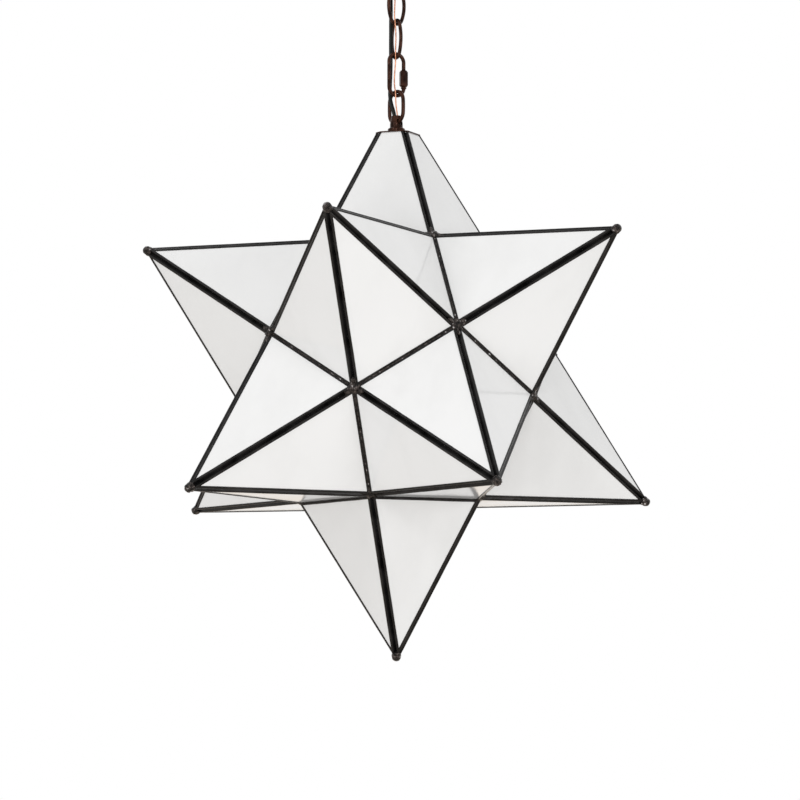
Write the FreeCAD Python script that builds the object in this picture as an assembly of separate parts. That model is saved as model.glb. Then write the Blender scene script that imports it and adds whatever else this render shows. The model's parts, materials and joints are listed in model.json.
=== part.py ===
import FreeCAD, Part
import math
import os

# A twelve-pointed star lantern that hangs from a ceiling box on a short chain.
# Millimetres, +Z up. The origin is the middle of the crossbar, in the plane of the ceiling.

V = FreeCAD.Vector
UP = V(0, 0, 1)
DOWN = V(0, 0, -1)

# ---------------------------------------------------------------- star
tip_radius = 292.0        # star centre to the ideal tip of each point
valley_radius = 165.0     # star centre to each corner where three points meet
plate_level = 250.4       # star centre up to the underside of the top plate
plate_corner = 26.8       # axis to each corner of the cut-off top point
glass_thickness = 3.0
glass_play = 0.1          # between the glass and each leg of its channel
glass_edge_play = 0.3     # between the glass edge and the channel's web
came_wall = 0.7
came_leg = 2.3            # how far a leg reaches over the glass
seam_gap = 0.05           # between the channels of two soldered panels
door_gap = 0.3            # round the bottom point, which opens
tip_cap_depth = 7.6       # how far below the ideal tip the channels end
tip_cap_height = 5.6      # the soldered cap beyond them
tip_cap_radius = 4.6
lump_radius = 4.6         # soldered lump where three points meet
lump_sink = 0.8           # how far a lump's middle lies under the corner

# ---------------------------------------------------------------- top plate and stem
plate_thickness = 1.2
plate_lip = 0.3           # how far the plate reaches past the glass point
pipe_radius = 5.1
pipe_bore = 3.6
pipe_length = 136.0
pipe_fit = 0.05           # radial clearance of what slides over a pipe
washer_radius = 10.5
washer_thickness = 1.6
nut_flats = 15.0
nut_thickness = 4.5
socket_cap_radius = 17.0
socket_cap_height = 24.0
socket_cap_wall = 0.9
socket_shell_radius = 16.4
socket_shell_height = 36.0
socket_shell_wall = 0.8
socket_core_height = 20.0
screw_shell_radius = 13.9
screw_shell_wall = 0.5
screw_shell_height = 24.0
contact_height = 3.0
contact_radius = 3.5
lamp_play = 0.4           # between the lamp's base and the screw shell
lamp_base_height = 23.0
lamp_radius = 30.0
lamp_length = 84.0        # the glass, from the base's rim to its crown
lamp_neck = 14.5

# ---------------------------------------------------------------- hanging loop on the plate
flange_radius = 9.0
flange_thickness = 7.0
loop_base_radius = 6.75
loop_mouth_radius = 5.35
loop_mouth_bore = 4.3
loop_height = 19.8        # from the plate to the mouth
loop_socket_depth = 8.8   # how deep the stem pipe is screwed in
loop_eye_radius = 4.0
loop_eye_lift = 0.7       # the eye's axis above the ring's wire centre
ring_seat = 12.7          # from the plate up to the ring's wire centre

# ---------------------------------------------------------------- ring, quick link and chain
ring_wire = 4.0
ring_width = 21.0         # centre to centre of the wire
ring_length = 33.2
ring_roundness = 0.98     # end radius over half the width
ring_heading = -33.0      # plan direction of the ring's plane, degrees from +X
quick_wire = 4.0
quick_width = 17.4
quick_length = 44.2
quick_stub_level = -9.8   # lower threaded end, from the middle of the link
quick_gap = 4.6
quick_collar_radius = 3.1
quick_collar_height = 1.2
sleeve_flats = 8.0
sleeve_length = 17.4
sleeve_fit = 0.06
sleeve_chamfer = 1.4
chain_wire = 3.8
chain_width = 18.4
chain_length = 40.0
chain_roundness = 0.72
chain_heading = 45.0      # plan direction of the first link; the next stands across it
link_gap = 0.15           # between the wires of two links
wire_sides = 12
bow_steps = 6             # facets round each end of a link
side_steps = 2

# ---------------------------------------------------------------- ceiling end
collar_loop_wire = 4.4
collar_loop_width = 20.0
collar_loop_drop = 20.7   # from the threaded base down to the bow's wire centre
collar_base_radius = 12.7
collar_base_height = 14.0
collar_base_bore = 4.9
collar_socket_depth = 6.0
collar_ring_radius = 18.0
collar_ring_height = 6.0
collar_ring_level = 5.0   # above the base's lower face
collar_fit = 0.08
canopy_radius = 63.5
canopy_height = 30.0
canopy_wall = 1.0
canopy_rim = 5.0
canopy_flat = 22.0
canopy_play = 0.4
crossbar_length = 106.0
crossbar_width = 16.0
crossbar_thickness = 2.4
box_screw_spacing = 88.9
box_slot_length = 12.0
box_slot_radius = 2.4
nipple_radius = 5.1
nipple_bore = 3.6
nipple_stand = 7.0        # above the crossbar
ground_screw_place = 24.0
ground_screw_radius = 2.0
ground_head_radius = 4.2
ground_head_height = 2.2

# ---------------------------------------------------------------- door of the bottom point
knuckle_radius = 1.6
pin_radius = 0.8
pin_fit = 0.05
hinge_length = 52.0
knuckle_gap = 0.3
leaf_thickness = 0.6
leaf_width = 2.0
pin_bend = 5.0
pin_end_play = 0.3
catch_width = 9.0
catch_thickness = 0.5
catch_reach = 7.0
catch_foot = 12.0

# ---------------------------------------------------------------- cords
cord_width = 5.2
cord_thickness = 2.6
ground_wire_thickness = 1.4


def heading(degrees):
    return V(math.cos(math.radians(degrees)), math.sin(math.radians(degrees)), 0)


# Heights from the top down, so that every link hangs on the one above it.
canopy_level = -canopy_height
collar_base_level = canopy_level - collar_ring_height - collar_ring_level
collar_bow = collar_base_level - collar_loop_drop
upper_top = collar_bow + (collar_loop_wire + chain_wire) / 2 + link_gap
upper_bow = upper_top - chain_length
lower_top = upper_bow + chain_wire + link_gap
lower_bow = lower_top - chain_length
quick_top = lower_bow + (chain_wire + quick_wire) / 2 + link_gap
quick_bow = quick_top - quick_length
ring_top = quick_bow + (quick_wire + ring_wire) / 2 + link_gap
ring_bow = ring_top - ring_length
plate_top = ring_bow - ring_seat
star_level = plate_top - plate_thickness - plate_level
CENTRE = V(0, 0, star_level)
came_thickness = glass_thickness + 2 * (glass_play + came_wall)


# ---------------------------------------------------------------- small tools
def prism(points, along):
    outline = Part.makePolygon(points + [points[0]])
    return Part.Face(outline).extrude(along)


def rod(radius, start, end):
    return Part.makeCylinder(radius, (end - start).Length, start, end - start)


def tube(radius, bore, start, end):
    return rod(radius, start, end).cut(rod(bore, start, end))


def turned(profile):
    """A solid of revolution about Z from (radius, height) points."""
    points = [V(r, 0, z) for r, z in profile]
    return Part.Face(Part.makePolygon(points + [points[0]])).revolve(V(0, 0, 0), UP, 360)


def solid_of(faces):
    body = Part.Solid(Part.makeShell(faces))
    if body.Volume < 0:
        body.reverse()
    return body


def lofted_rings(rings, closed=False):
    """Flat faces between rings of equally many points, with end faces unless the rings close."""
    count = len(rings[0])
    pairs = list(zip(rings, rings[1:]))
    if closed:
        pairs.append((rings[-1], rings[0]))
    faces = []
    for low, high in pairs:
        for i in range(count):
            j = (i + 1) % count
            corners = [low[i], low[j], high[j], high[i]]
            faces.append(Part.Face(Part.makePolygon(corners + [corners[0]])))
    if not closed:
        for ring in (rings[0], rings[-1]):
            faces.append(Part.Face(Part.makePolygon(ring + [ring[0]])))
    return solid_of(faces)


def circle_points(centre, axis, radius, sides):
    """Corners of a polygon whose area is that of the circle."""
    across = V(0, 0, 1).cross(axis)
    if across.Length < 0.01:
        across = V(1, 0, 0)
    across.normalize()
    other = axis.cross(across)
    other.normalize()
    fair = radius * math.sqrt(2 * math.pi / (sides * math.sin(2 * math.pi / sides)))
    turns = [2 * math.pi * k / sides for k in range(sides)]
    return [centre + across * (fair * math.cos(t)) + other * (fair * math.sin(t)) for t in turns]


def nugget(place, axis, profile, sides):
    """A faceted drop of solder: rings of (radius, distance along the axis)."""
    return lofted_rings([circle_points(place + axis * s, axis, r, sides) for r, s in profile])


def hex_prism(flats, start, end):
    axis = end - start
    length = axis.Length
    axis.normalize()
    corner = flats / math.sqrt(3)
    side = V(1, 0, 0) if abs(axis.z) > 0.5 else V(0, 0, 1)
    other = axis.cross(side)
    turns = [math.pi / 3 * k for k in range(6)]
    points = [start + side * (corner * math.cos(t)) + other * (corner * math.sin(t)) for t in turns]
    return prism(points, axis * length)


def wire_run(points, closed, side, radius, sides):
    """A wire bent along points in one plane, mitred at each; side is the plane's normal."""
    rings = []
    count = len(points)
    for i, point in enumerate(points):
        before = points[i - 1] if closed or i else point * 2 - points[1]
        after = points[(i + 1) % count] if closed or i < count - 1 else point * 2 - points[-2]
        into = point - before
        into.normalize()
        out = after - point
        out.normalize()
        bisector = into + out
        bisector.normalize()
        across = side.cross(bisector)
        stretch = 1 / max(0.2, bisector.dot(into))
        fair = radius * math.sqrt(2 * math.pi / (sides * math.sin(2 * math.pi / sides)))
        turns = [2 * math.pi * (k + 0.5) / sides for k in range(sides)]
        rings.append([point + across * (fair * stretch * math.cos(t)) + side * (fair * math.sin(t))
                      for t in turns])
    return lofted_rings(rings, closed)


def oval(length, width, roundness):
    """Points of a four-arc oval, long axis first: (along, across), from its lower end round."""
    half = length / 2
    reach = width / 2
    end_radius = roundness * reach
    rise = half - end_radius
    flank = (rise ** 2 + reach ** 2 - end_radius ** 2) / (2 * (reach - end_radius))
    turn = math.atan2(rise, flank - reach)
    quarter = []
    for k in range(bow_steps + 1):
        t = (math.pi / 2 - turn) * k / bow_steps
        quarter.append((-rise - end_radius * math.cos(t), end_radius * math.sin(t)))
    for k in range(1, side_steps + 1):
        t = turn * (1 - k / side_steps)
        quarter.append((-flank * math.sin(t), reach - flank + flank * math.cos(t)))
    lower = quarter[:-1]
    right = lower + [(0, reach)] + [(-a, c) for a, c in reversed(lower)]
    left = [(a, -c) for a, c in reversed(right[1:-1])]
    return right + left


def hung_oval(top, bow, width, roundness, plan, wire):
    """A closed link hanging in the vertical plane of direction plan."""
    middle = V(0, 0, (top + bow) / 2)
    route = [middle + UP * a + plan * c for a, c in oval(top - bow, width, roundness)]
    return wire_run(route, True, plan.cross(UP), wire / 2, wire_sides)


def arc_points(centre, plan, radius, start, end, steps):
    """Points on an arc in the vertical plane of plan, angles in degrees from plan."""
    turns = [math.radians(start + (end - start) * k / steps) for k in range(steps + 1)]
    return [centre + plan * (radius * math.cos(t)) + UP * (radius * math.sin(t)) for t in turns]


# ---------------------------------------------------------------- star geometry
def star_tips():
    """Directions of the twelve points by name, the top and bottom ones on the axis."""
    high = 1 / math.sqrt(5)
    wide = 2 / math.sqrt(5)
    names_up = ["upper_front", "upper_right", "upper_back_right", "upper_back_left", "upper_left"]
    names_down = ["lower_front_right", "lower_right", "lower_back", "lower_left", "lower_front_left"]
    tips = {"top": V(0, 0, 1)}
    for k, name in enumerate(names_up):
        tips[name] = heading(270 + 72 * k) * wide + UP * high
    for k, name in enumerate(names_down):
        tips[name] = heading(306 + 72 * k) * wide - UP * high
    tips["bottom"] = V(0, 0, -1)
    return tips


TIPS = star_tips()


def valley_corners():
    """The twenty corners where three neighbouring points meet, as directions."""
    tips = list(TIPS.values())
    near = 0.4
    corners = []
    for i in range(12):
        for j in range(i + 1, 12):
            for k in range(j + 1, 12):
                a, b, c = tips[i], tips[j], tips[k]
                if min(a.dot(b), b.dot(c), a.dot(c)) > near:
                    middle = a + b + c
                    middle.normalize()
                    corners.append(middle)
    return corners


CORNERS = valley_corners()


def corners_round(tip):
    """The five corners at the foot of a point, in order round its axis."""
    five = sorted(CORNERS, key=lambda c: -c.dot(tip))[:5]
    side = five[0] - tip * five[0].dot(tip)
    side.normalize()
    other = tip.cross(side)
    return sorted(five, key=lambda c: math.atan2(c.dot(other), c.dot(side)))


def point_panels(name):
    """The outline corners of a point's five panels, on the outer face, and their normals."""
    tip = TIPS[name]
    foot = [c * valley_radius for c in corners_round(tip)]
    panels = []
    for k in range(5):
        a, b = foot[k], foot[(k + 1) % 5]
        if name == "top":
            cut = [V(p.x, p.y, 0).normalize() * plate_corner + UP * plate_level for p in (a, b)]
            outline = [a, b, cut[1], cut[0]]
        else:
            outline = [a, b, tip * tip_radius]
        normal = (outline[1] - outline[0]).cross(outline[2] - outline[0])
        normal.normalize()
        if normal.dot(outline[0]) < 0:
            normal = -normal
            outline = [outline[1], outline[0]] + outline[2:][::-1]
        panels.append(([CENTRE + p for p in outline], normal))
    return panels


def inset(outline, normal, distances):
    """The outline with each edge moved inwards by its own distance."""
    count = len(outline)
    lines = []
    for i in range(count):
        along = outline[(i + 1) % count] - outline[i]
        along.normalize()
        inward = normal.cross(along)
        lines.append((outline[i] + inward * distances[i], along))
    moved = []
    for i in range(count):
        p, d = lines[i - 1]
        q, e = lines[i]
        across = normal.cross(e)
        moved.append(p + d * ((q - p).dot(across) / d.dot(across)))
    return moved


def ridge_inset(normal, neighbour):
    """Square-cut channels meet at their inner corners on a ridge."""
    return came_thickness * math.tan(normal.getAngle(neighbour) / 2) + seam_gap


def edge_insets(name, k, panels):
    """For each edge of panel k: foot, ridge, cut or not, ridge."""
    normal = panels[k][1]
    ridge = ridge_inset(normal, panels[(k + 1) % 5][1])
    foot = door_gap if name == "bottom" else seam_gap
    if name == "top":
        return [foot, ridge, -came_thickness, ridge]
    return [foot, ridge, ridge]


def beyond_tip(name):
    """The space past the plane where a point's channels end."""
    if name == "top":
        start = CENTRE + UP * plate_level
        return rod(4 * plate_corner, start, start + UP * tip_radius)
    tip = TIPS[name]
    start = CENTRE + tip * (tip_radius - tip_cap_depth)
    return rod(4 * tip_cap_depth, start, start + tip * (4 * tip_cap_depth))


def came_frame(outline, normal, distances):
    """A U-shaped channel that runs round one panel."""
    outer = inset(outline, normal, distances)
    inner = inset(outline, normal, [d + came_leg for d in distances])
    groove = inset(outline, normal, [d + came_wall for d in distances])
    depth = normal * -came_thickness
    wall = normal * -came_wall
    frame = prism(outer, depth).cut(prism(inner, depth))
    slab = prism([p + wall for p in groove], normal * (2 * came_wall - came_thickness))
    return frame.cut(slab)


def glass_panel(outline, normal, distances):
    edge = came_wall + glass_edge_play
    points = inset(outline, normal, [d + edge for d in distances])
    face = normal * -(came_wall + glass_play)
    return prism([p + face for p in points], normal * -glass_thickness)


def star_point(name):
    """The five glasses and five channels of one point."""
    panels = point_panels(name)
    past = beyond_tip(name)
    glasses = []
    frames = []
    for k, (outline, normal) in enumerate(panels):
        distances = edge_insets(name, k, panels)
        frames.append(came_frame(outline, normal, distances).cut(past))
        glasses.append(glass_panel(outline, normal, distances).cut(past))
    return glasses, frames


# ---------------------------------------------------------------- solder
def tip_cap(name):
    """The soldered cap on the blunt end of a point's channels."""
    tip = TIPS[name]
    seat = CENTRE + tip * (tip_radius - tip_cap_depth)
    profile = [(tip_cap_radius, 0), (tip_cap_radius * 0.97, tip_cap_height * 0.36),
               (tip_cap_radius * 0.8, tip_cap_height * 0.71),
               (tip_cap_radius * 0.35, tip_cap_height)]
    return nugget(seat, tip, profile, 8)


def corner_lump(corner, frames):
    """A lump of solder in the pit where the channels of three points meet."""
    place = CENTRE + corner * (valley_radius - lump_sink)
    profile = [(lump_radius * 0.5, -lump_radius * 0.75), (lump_radius, 0),
               (lump_radius * 0.6, lump_radius * 0.7)]
    ball = nugget(place, corner, profile, 6)
    near = [f for f in frames if f.distToShape(ball)[0] < 0.01]
    rest = ball.cut(near)
    return max(rest.Solids, key=lambda s: s.Volume)


# ---------------------------------------------------------------- hanging hardware
def hanging_loop():
    """A flanged nozzle: the stem pipe screws in below, the ring runs through its cross eye."""
    shoulder = flange_thickness + 4.6
    profile = [(pipe_radius + pipe_fit, 0), (flange_radius, 0), (flange_radius, flange_thickness - 1),
               (loop_base_radius, flange_thickness), (loop_base_radius, shoulder),
               (loop_mouth_radius, loop_height), (loop_mouth_bore, loop_height),
               (loop_mouth_bore, loop_socket_depth), (pipe_radius + pipe_fit, loop_socket_depth)]
    body = turned(profile)
    plan = heading(ring_heading)
    eye_level = ring_seat + loop_eye_lift
    eye = rod(loop_eye_radius, UP * eye_level - plan * flange_radius,
              UP * eye_level + plan * flange_radius)
    body = body.cut(eye)
    body.translate(UP * plate_top)
    return body


def ring_link():
    return hung_oval(ring_top, ring_bow, ring_width, ring_roundness, heading(ring_heading), ring_wire)


def chain_link(top, bow, plan):
    return hung_oval(top, bow, chain_width, chain_roundness, plan, chain_wire)


def quick_link_places():
    """The quick link's plan direction, the axis of its threaded arm, and its two threaded ends."""
    plan = heading(chain_heading)
    arm = plan * (quick_width / 2)
    lower = (quick_top + quick_bow) / 2 + quick_stub_level
    return plan, arm, lower, lower + quick_gap


def quick_link():
    """An open oval of wire with a collar under its sleeve nut."""
    plan, arm, lower, upper = quick_link_places()
    bend = quick_width / 2
    high = V(0, 0, quick_top - bend)
    low = V(0, 0, quick_bow + bend)
    steps = 2 * bow_steps
    route = [arm + UP * upper] + arc_points(high, plan, bend, 0, 180, steps)
    route += arc_points(low, plan, bend, 180, 360, steps) + [arm + UP * lower]
    wire = wire_run(route, False, plan.cross(UP), quick_wire / 2, wire_sides)
    seat = sleeve_bottom()
    collar = Part.makeCone(quick_wire / 2, quick_collar_radius, quick_collar_height,
                           arm + UP * (seat - quick_collar_height))
    return wire.fuse(collar)


def sleeve_bottom():
    """The sleeve nut's lower face: it covers both threaded ends."""
    _, _, lower, upper = quick_link_places()
    return (lower + upper) / 2 - sleeve_length * 0.26


def quick_link_nut():
    """A long six-sided sleeve nut with rounded-off ends."""
    _, arm, _, _ = quick_link_places()
    start = arm + UP * sleeve_bottom()
    end = start + UP * sleeve_length
    sleeve = hex_prism(sleeve_flats, start, end)
    corner = sleeve_flats / math.sqrt(3)
    rounded = turned([(0, 0), (corner - sleeve_chamfer, 0), (corner, sleeve_chamfer * 1.4),
                      (corner, sleeve_length - sleeve_chamfer * 1.4),
                      (corner - sleeve_chamfer, sleeve_length), (0, sleeve_length)])
    rounded.translate(start)
    # The wire's facets reach past its round size, and the bore clears them.
    reach = quick_wire / 2 * 1.03 + sleeve_fit
    return sleeve.common(rounded).cut(rod(reach, start, end))


def canopy_loop():
    """Threaded base with a wire way, and a bow below it that holds the chain."""
    low = V(0, 0, collar_base_level)
    top = low + UP * collar_base_height
    base = rod(collar_base_radius, low, top).cut(rod(collar_base_bore, low, top))
    socket = rod(nipple_radius + pipe_fit, top - UP * collar_socket_depth, top)
    base = base.cut(socket)
    plan = heading(chain_heading - 90)
    bend = collar_loop_width / 2
    centre = V(0, 0, collar_bow + bend)
    arm = plan * bend
    route = [low + UP - arm] + arc_points(centre, plan, bend, 180, 360, 2 * bow_steps) + [low + UP + arm]
    bow = wire_run(route, False, plan.cross(UP), collar_loop_wire / 2, wire_sides)
    return base.fuse(bow)


def collar_ring():
    low = V(0, 0, collar_base_level + collar_ring_level)
    ring = turned([(collar_base_radius + collar_fit, 0), (collar_ring_radius - 1.5, 0),
                   (collar_ring_radius, 1.5), (collar_ring_radius, collar_ring_height),
                   (collar_base_radius + collar_fit, collar_ring_height)])
    ring.translate(low)
    return ring


def canopy():
    """A spun cover with a straight rim, a sloping skirt and a flat middle."""
    waist = canopy_radius * 0.8
    bend = canopy_height * 0.6
    outer = [(canopy_radius, 0), (canopy_radius, -canopy_rim), (waist, -bend),
             (canopy_flat, -canopy_height)]
    inner = [(canopy_flat, canopy_wall - canopy_height),
             (waist - canopy_wall * 0.6, canopy_wall * 0.8 - bend),
             (canopy_radius - canopy_wall, canopy_wall * 0.3 - canopy_rim),
             (canopy_radius - canopy_wall, 0)]
    hole = collar_base_radius + canopy_play
    profile = outer + [(hole, -canopy_height), (hole, canopy_wall - canopy_height)] + inner
    return turned(profile)


def crossbar():
    """A flat bar across the ceiling box, tapped in the middle for the nipple."""
    half_length = crossbar_length / 2
    half_width = crossbar_width / 2
    low = -crossbar_thickness
    corners = [V(-half_length, -half_width, low), V(half_length, -half_width, low),
               V(half_length, half_width, low), V(-half_length, half_width, low)]
    bar = prism(corners, UP * crossbar_thickness)
    upright = [e for e in bar.Edges if abs(e.Vertexes[0].X - e.Vertexes[1].X) < 0.01
               and abs(e.Vertexes[0].Y - e.Vertexes[1].Y) < 0.01]
    bar = bar.makeFillet(crossbar_width * 0.3, upright)
    bar = bar.cut(rod(nipple_radius + pipe_fit, V(0, 0, low), V(0, 0, 0)))
    for side in (-1, 1):
        bar = bar.cut(box_slot(side))
    screw = V(ground_screw_place, 0, low)
    return bar.cut(rod(ground_screw_radius + pipe_fit, screw, screw + UP * crossbar_thickness))


def box_slot(side):
    middle = V(side * box_screw_spacing / 2, 0, -crossbar_thickness)
    run = V(box_slot_length / 2 - box_slot_radius, 0, 0)
    across = V(0, box_slot_radius, 0)
    top = UP * crossbar_thickness
    slot = prism([middle - run - across, middle + run - across,
                  middle + run + across, middle - run + across], top)
    ends = [rod(box_slot_radius, middle + r, middle + r + top) for r in (run, -run)]
    return slot.fuse(ends)


def nipple():
    bottom = V(0, 0, collar_base_level + collar_base_height - collar_socket_depth)
    return tube(nipple_radius, nipple_bore, bottom, V(0, 0, nipple_stand))


def bored_nut(flats, thickness, bore, level):
    """A six-sided nut round the axis, its lower face at level."""
    start = V(0, 0, level)
    end = start + UP * thickness
    return hex_prism(flats, start, end).cut(rod(bore, start, end))


def ground_screw():
    place = V(ground_screw_place, 0, -crossbar_thickness)
    head = rod(ground_head_radius, place - UP * ground_head_height, place)
    slot = prism([place + V(-ground_head_radius, -0.5, -ground_head_height),
                  place + V(ground_head_radius, -0.5, -ground_head_height),
                  place + V(ground_head_radius, 0.5, -ground_head_height),
                  place + V(-ground_head_radius, 0.5, -ground_head_height)], UP * 0.9)
    return head.cut(slot).fuse(rod(ground_screw_radius, place, place + UP * 7))


# ---------------------------------------------------------------- plate, stem, socket and lamp
def top_plate():
    corners = [c for c in corners_round(TIPS["top"])]
    reach = plate_corner + plate_lip
    low = CENTRE + UP * plate_level
    points = [low + V(c.x, c.y, 0).normalize() * reach for c in corners]
    plate = prism(points, UP * plate_thickness)
    return plate.cut(rod(pipe_radius + pipe_fit, low, low + UP * plate_thickness))


plate_under = plate_top - plate_thickness
pipe_top = plate_top + loop_socket_depth
pipe_foot = pipe_top - pipe_length
nut_level = plate_under - washer_thickness - nut_thickness
socket_level = pipe_foot + 8.0          # the socket cap's neck is screwed this far up the pipe
socket_seat = socket_level - socket_cap_height


def stem_pipe():
    return tube(pipe_radius, pipe_bore, V(0, 0, pipe_foot), V(0, 0, pipe_top))


def plate_washer():
    low = V(0, 0, plate_under - washer_thickness)
    return tube(washer_radius, pipe_radius + pipe_fit, low, low + UP * washer_thickness)


def socket_cap():
    """The domed cap of the lamp socket, with a neck that takes the pipe."""
    neck = pipe_radius + pipe_fit
    wall = socket_cap_wall
    profile = [(neck, socket_cap_height), (neck + 2.2, socket_cap_height), (neck + 2.2, 16),
               (socket_cap_radius, 8), (socket_cap_radius, 0), (socket_cap_radius - wall, 0),
               (socket_cap_radius - wall, 8 - wall * 0.5), (neck + 2.2, 16 - wall * 1.3),
               (neck, 16 - wall * 1.3)]
    cap = turned(profile)
    cap.translate(V(0, 0, socket_seat))
    return cap


def socket_shell():
    """The straight shell below the cap, pushed a little way into it."""
    lap = 5.0
    radius = socket_cap_radius - socket_cap_wall - 0.05
    top = V(0, 0, socket_seat + lap)
    bottom = top - UP * socket_shell_height
    return tube(radius, radius - socket_shell_wall, bottom, top)


def socket_core():
    """The moulded body that carries the contacts."""
    radius = socket_cap_radius - socket_cap_wall - socket_shell_wall - 0.15
    top = V(0, 0, socket_seat + 3)
    bottom = top - UP * socket_core_height
    core = rod(radius, bottom, top)
    pocket = rod(screw_shell_radius + 0.05, bottom, bottom + UP * (socket_core_height - 6))
    return core.cut(pocket)


core_floor = socket_seat + 3 - 6.0


def screw_shell():
    """The threaded shell that grips the lamp's base."""
    top = V(0, 0, core_floor)
    bottom = top - UP * screw_shell_height
    shell = tube(screw_shell_radius, screw_shell_radius - screw_shell_wall, bottom, top)
    lid = tube(screw_shell_radius - screw_shell_wall, contact_radius + 1.5, top - UP * 0.6, top)
    return shell.fuse(lid)


def centre_contact():
    top = V(0, 0, core_floor)
    return rod(contact_radius, top - UP * contact_height, top)


lamp_top = core_floor - contact_height


def lamp_base():
    """The lamp's metal screw base, closed but for a flat contact at its top."""
    radius = screw_shell_radius - screw_shell_wall - lamp_play
    profile = [(0, 0), (4.5, 0), (4.5, -1.2), (radius - 2.5, -3.4), (radius, -6),
               (radius, -lamp_base_height), (0, -lamp_base_height)]
    base = turned(profile)
    base.translate(V(0, 0, lamp_top))
    return base


def lamp_glass():
    """A pear-shaped bulb hanging from its base."""
    top = lamp_top - lamp_base_height
    crown = lamp_length - lamp_radius
    profile = [(0, 0), (lamp_neck, -4), (lamp_radius * 0.84, crown * -0.7), (lamp_radius, -crown),
               (lamp_radius * 0.86, -crown - lamp_radius * 0.5),
               (lamp_radius * 0.45, -crown - lamp_radius * 0.9), (0, -lamp_length)]
    bulb = turned(profile)
    bulb.translate(V(0, 0, top))
    return bulb


# ---------------------------------------------------------------- door hinge and catch
def hinge_place():
    """Middle of the hinge axis, the edge's direction and the two panels' outward normals."""
    door = max(point_panels("bottom"), key=lambda p: p[1].y)
    shade = max(point_panels("lower_back"), key=lambda p: -p[1].z)
    outline = door[0]
    foot = sorted(outline, key=lambda p: (p - CENTRE).Length)[:2]
    middle = (foot[0] + foot[1]) / 2
    outwards = door[1] + shade[1]
    outwards.normalize()
    lift = knuckle_radius / outwards.dot(door[1])
    return middle + outwards * lift, V(1, 0, 0), door[1], shade[1]


def hinge_spans():
    """Three knuckles along the axis: shade, door, shade, as (start, end)."""
    third = hinge_length / 3
    half = hinge_length / 2
    return [(-half, -half + third - knuckle_gap), (-half + third, half - third),
            (half - third + knuckle_gap, half)]


def away_from_edge(along, normal, other):
    """The direction in a panel's face that leads away from its edge with the other panel."""
    away = along.cross(normal)
    return away if away.dot(other) > 0 else -away


def knuckle(span, normal, other):
    """A rolled tube with a small leaf flat on its panel's channel."""
    axis_point, along, _, _ = hinge_place()
    start = axis_point + along * span[0]
    end = axis_point + along * span[1]
    outer = rod(knuckle_radius, start, end)
    touch = start - normal * knuckle_radius
    reach = away_from_edge(along, normal, other) * leaf_width
    lift = normal * leaf_thickness
    leaf = prism([touch, touch + reach, touch + reach + lift, touch + lift],
                 along * (span[1] - span[0]))
    return outer.fuse(leaf).cut(rod(pin_radius + pin_fit, start, end))


def hinge_pin():
    """A wire pin with one end bent over, along the shade's channel."""
    axis_point, along, door_normal, shade_normal = hinge_place()
    end = hinge_length / 2 + pin_end_play
    corner = axis_point + along * (end + pin_radius)
    away = away_from_edge(along, shade_normal, door_normal)
    route = [axis_point - along * end, corner, corner + away * pin_bend]
    return wire_run(route, False, along.cross(away), pin_radius, wire_sides)


def door_catch():
    """A springy tab inside the door that slips behind the shade's channel at the front corner."""
    corner = min(corners_round(TIPS["bottom"]), key=lambda c: c.y)
    place = CENTRE + corner * valley_radius
    normal = max((n for _, n in point_panels("bottom") if n.x > 0.1), key=lambda n: -n.y)
    half = V(catch_width / 2, 0, 0)
    back = V(0, catch_thickness, 0)
    low, high = [place + UP * z + V(0, inner_reach(normal, z), 0) for z in (-catch_foot, catch_reach)]
    return prism([low - half, high - half, high - half + back, low - half + back], half * 2)


def inner_reach(normal, height):
    """How far in from the door's front corner a tab of the catch's width meets both channels."""
    return -(came_thickness + normal.x * catch_width / 2 + normal.z * height) / normal.y


# ---------------------------------------------------------------- cords
# Points of each route, chosen by hand, from the ceiling down to the hanging loop's mouth.
power_route = [
    (0.0, -0.4, -22.0), (0.0, -0.4, -33.0), (-2.1, -0.1, -43.5), (-5.6, 0.6, -54.0),
    (-6.3, 0.9, -66.5), (-6.0, 0.7, -80.0), (-6.2, 1.0, -94.0), (-6.1, 0.7, -108.0),
    (-6.3, 0.9, -122.0), (-6.1, 0.8, -136.0), (-6.4, 0.9, -150.0), (-6.9, 0.4, -163.0),
    (-7.1, 0.0, -174.0), (-5.2, -0.5, -183.5), (-2.4, -1.0, -191.5), (-1.4, -0.8, -198.5),
]
ground_route = [
    (1.6, 1.9, -22.0), (1.7, 1.7, -32.0), (1.5, -1.3, -42.0), (0.7, -4.3, -52.0),
    (0.0, -4.8, -64.0), (-0.3, -4.9, -77.0), (-0.9, -5.0, -90.0), (0.3, -4.6, -101.0),
    (0.8, -4.7, -112.0), (0.3, -4.7, -126.0), (0.4, -4.6, -139.0), (-0.7, -4.9, -152.0),
    (-1.1, -5.0, -162.0), (0.4, -4.7, -172.0), (0.5, -4.3, -184.0), (1.5, -3.0, -192.5),
    (2.1, -2.0, -199.0),
]


def rounded_path(points):
    """Straight runs joined by tangent arcs, as large as the runs allow; returns edges and radii."""
    corners = [V(*p) for p in points]
    edges = []
    radii = []
    last = corners[0]
    for i in range(1, len(corners) - 1):
        before, here, after = corners[i - 1], corners[i], corners[i + 1]
        into = here - before
        out = after - here
        shorter = min(into.Length, out.Length)
        into.normalize()
        out.normalize()
        turn = into.getAngle(out)
        reach = 0.45 * shorter
        radii.append(reach / math.tan(turn / 2))
        start = here - into * reach
        end = here + out * reach
        bisector = out - into
        bisector.normalize()
        middle = here + bisector * (radii[-1] * (1 / math.cos(turn / 2) - 1))
        edges.append(Part.LineSegment(last, start).toShape())
        edges.append(Part.Arc(start, middle, end).toShape())
        last = end
    edges.append(Part.LineSegment(last, corners[-1]).toShape())
    return edges, radii


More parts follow.
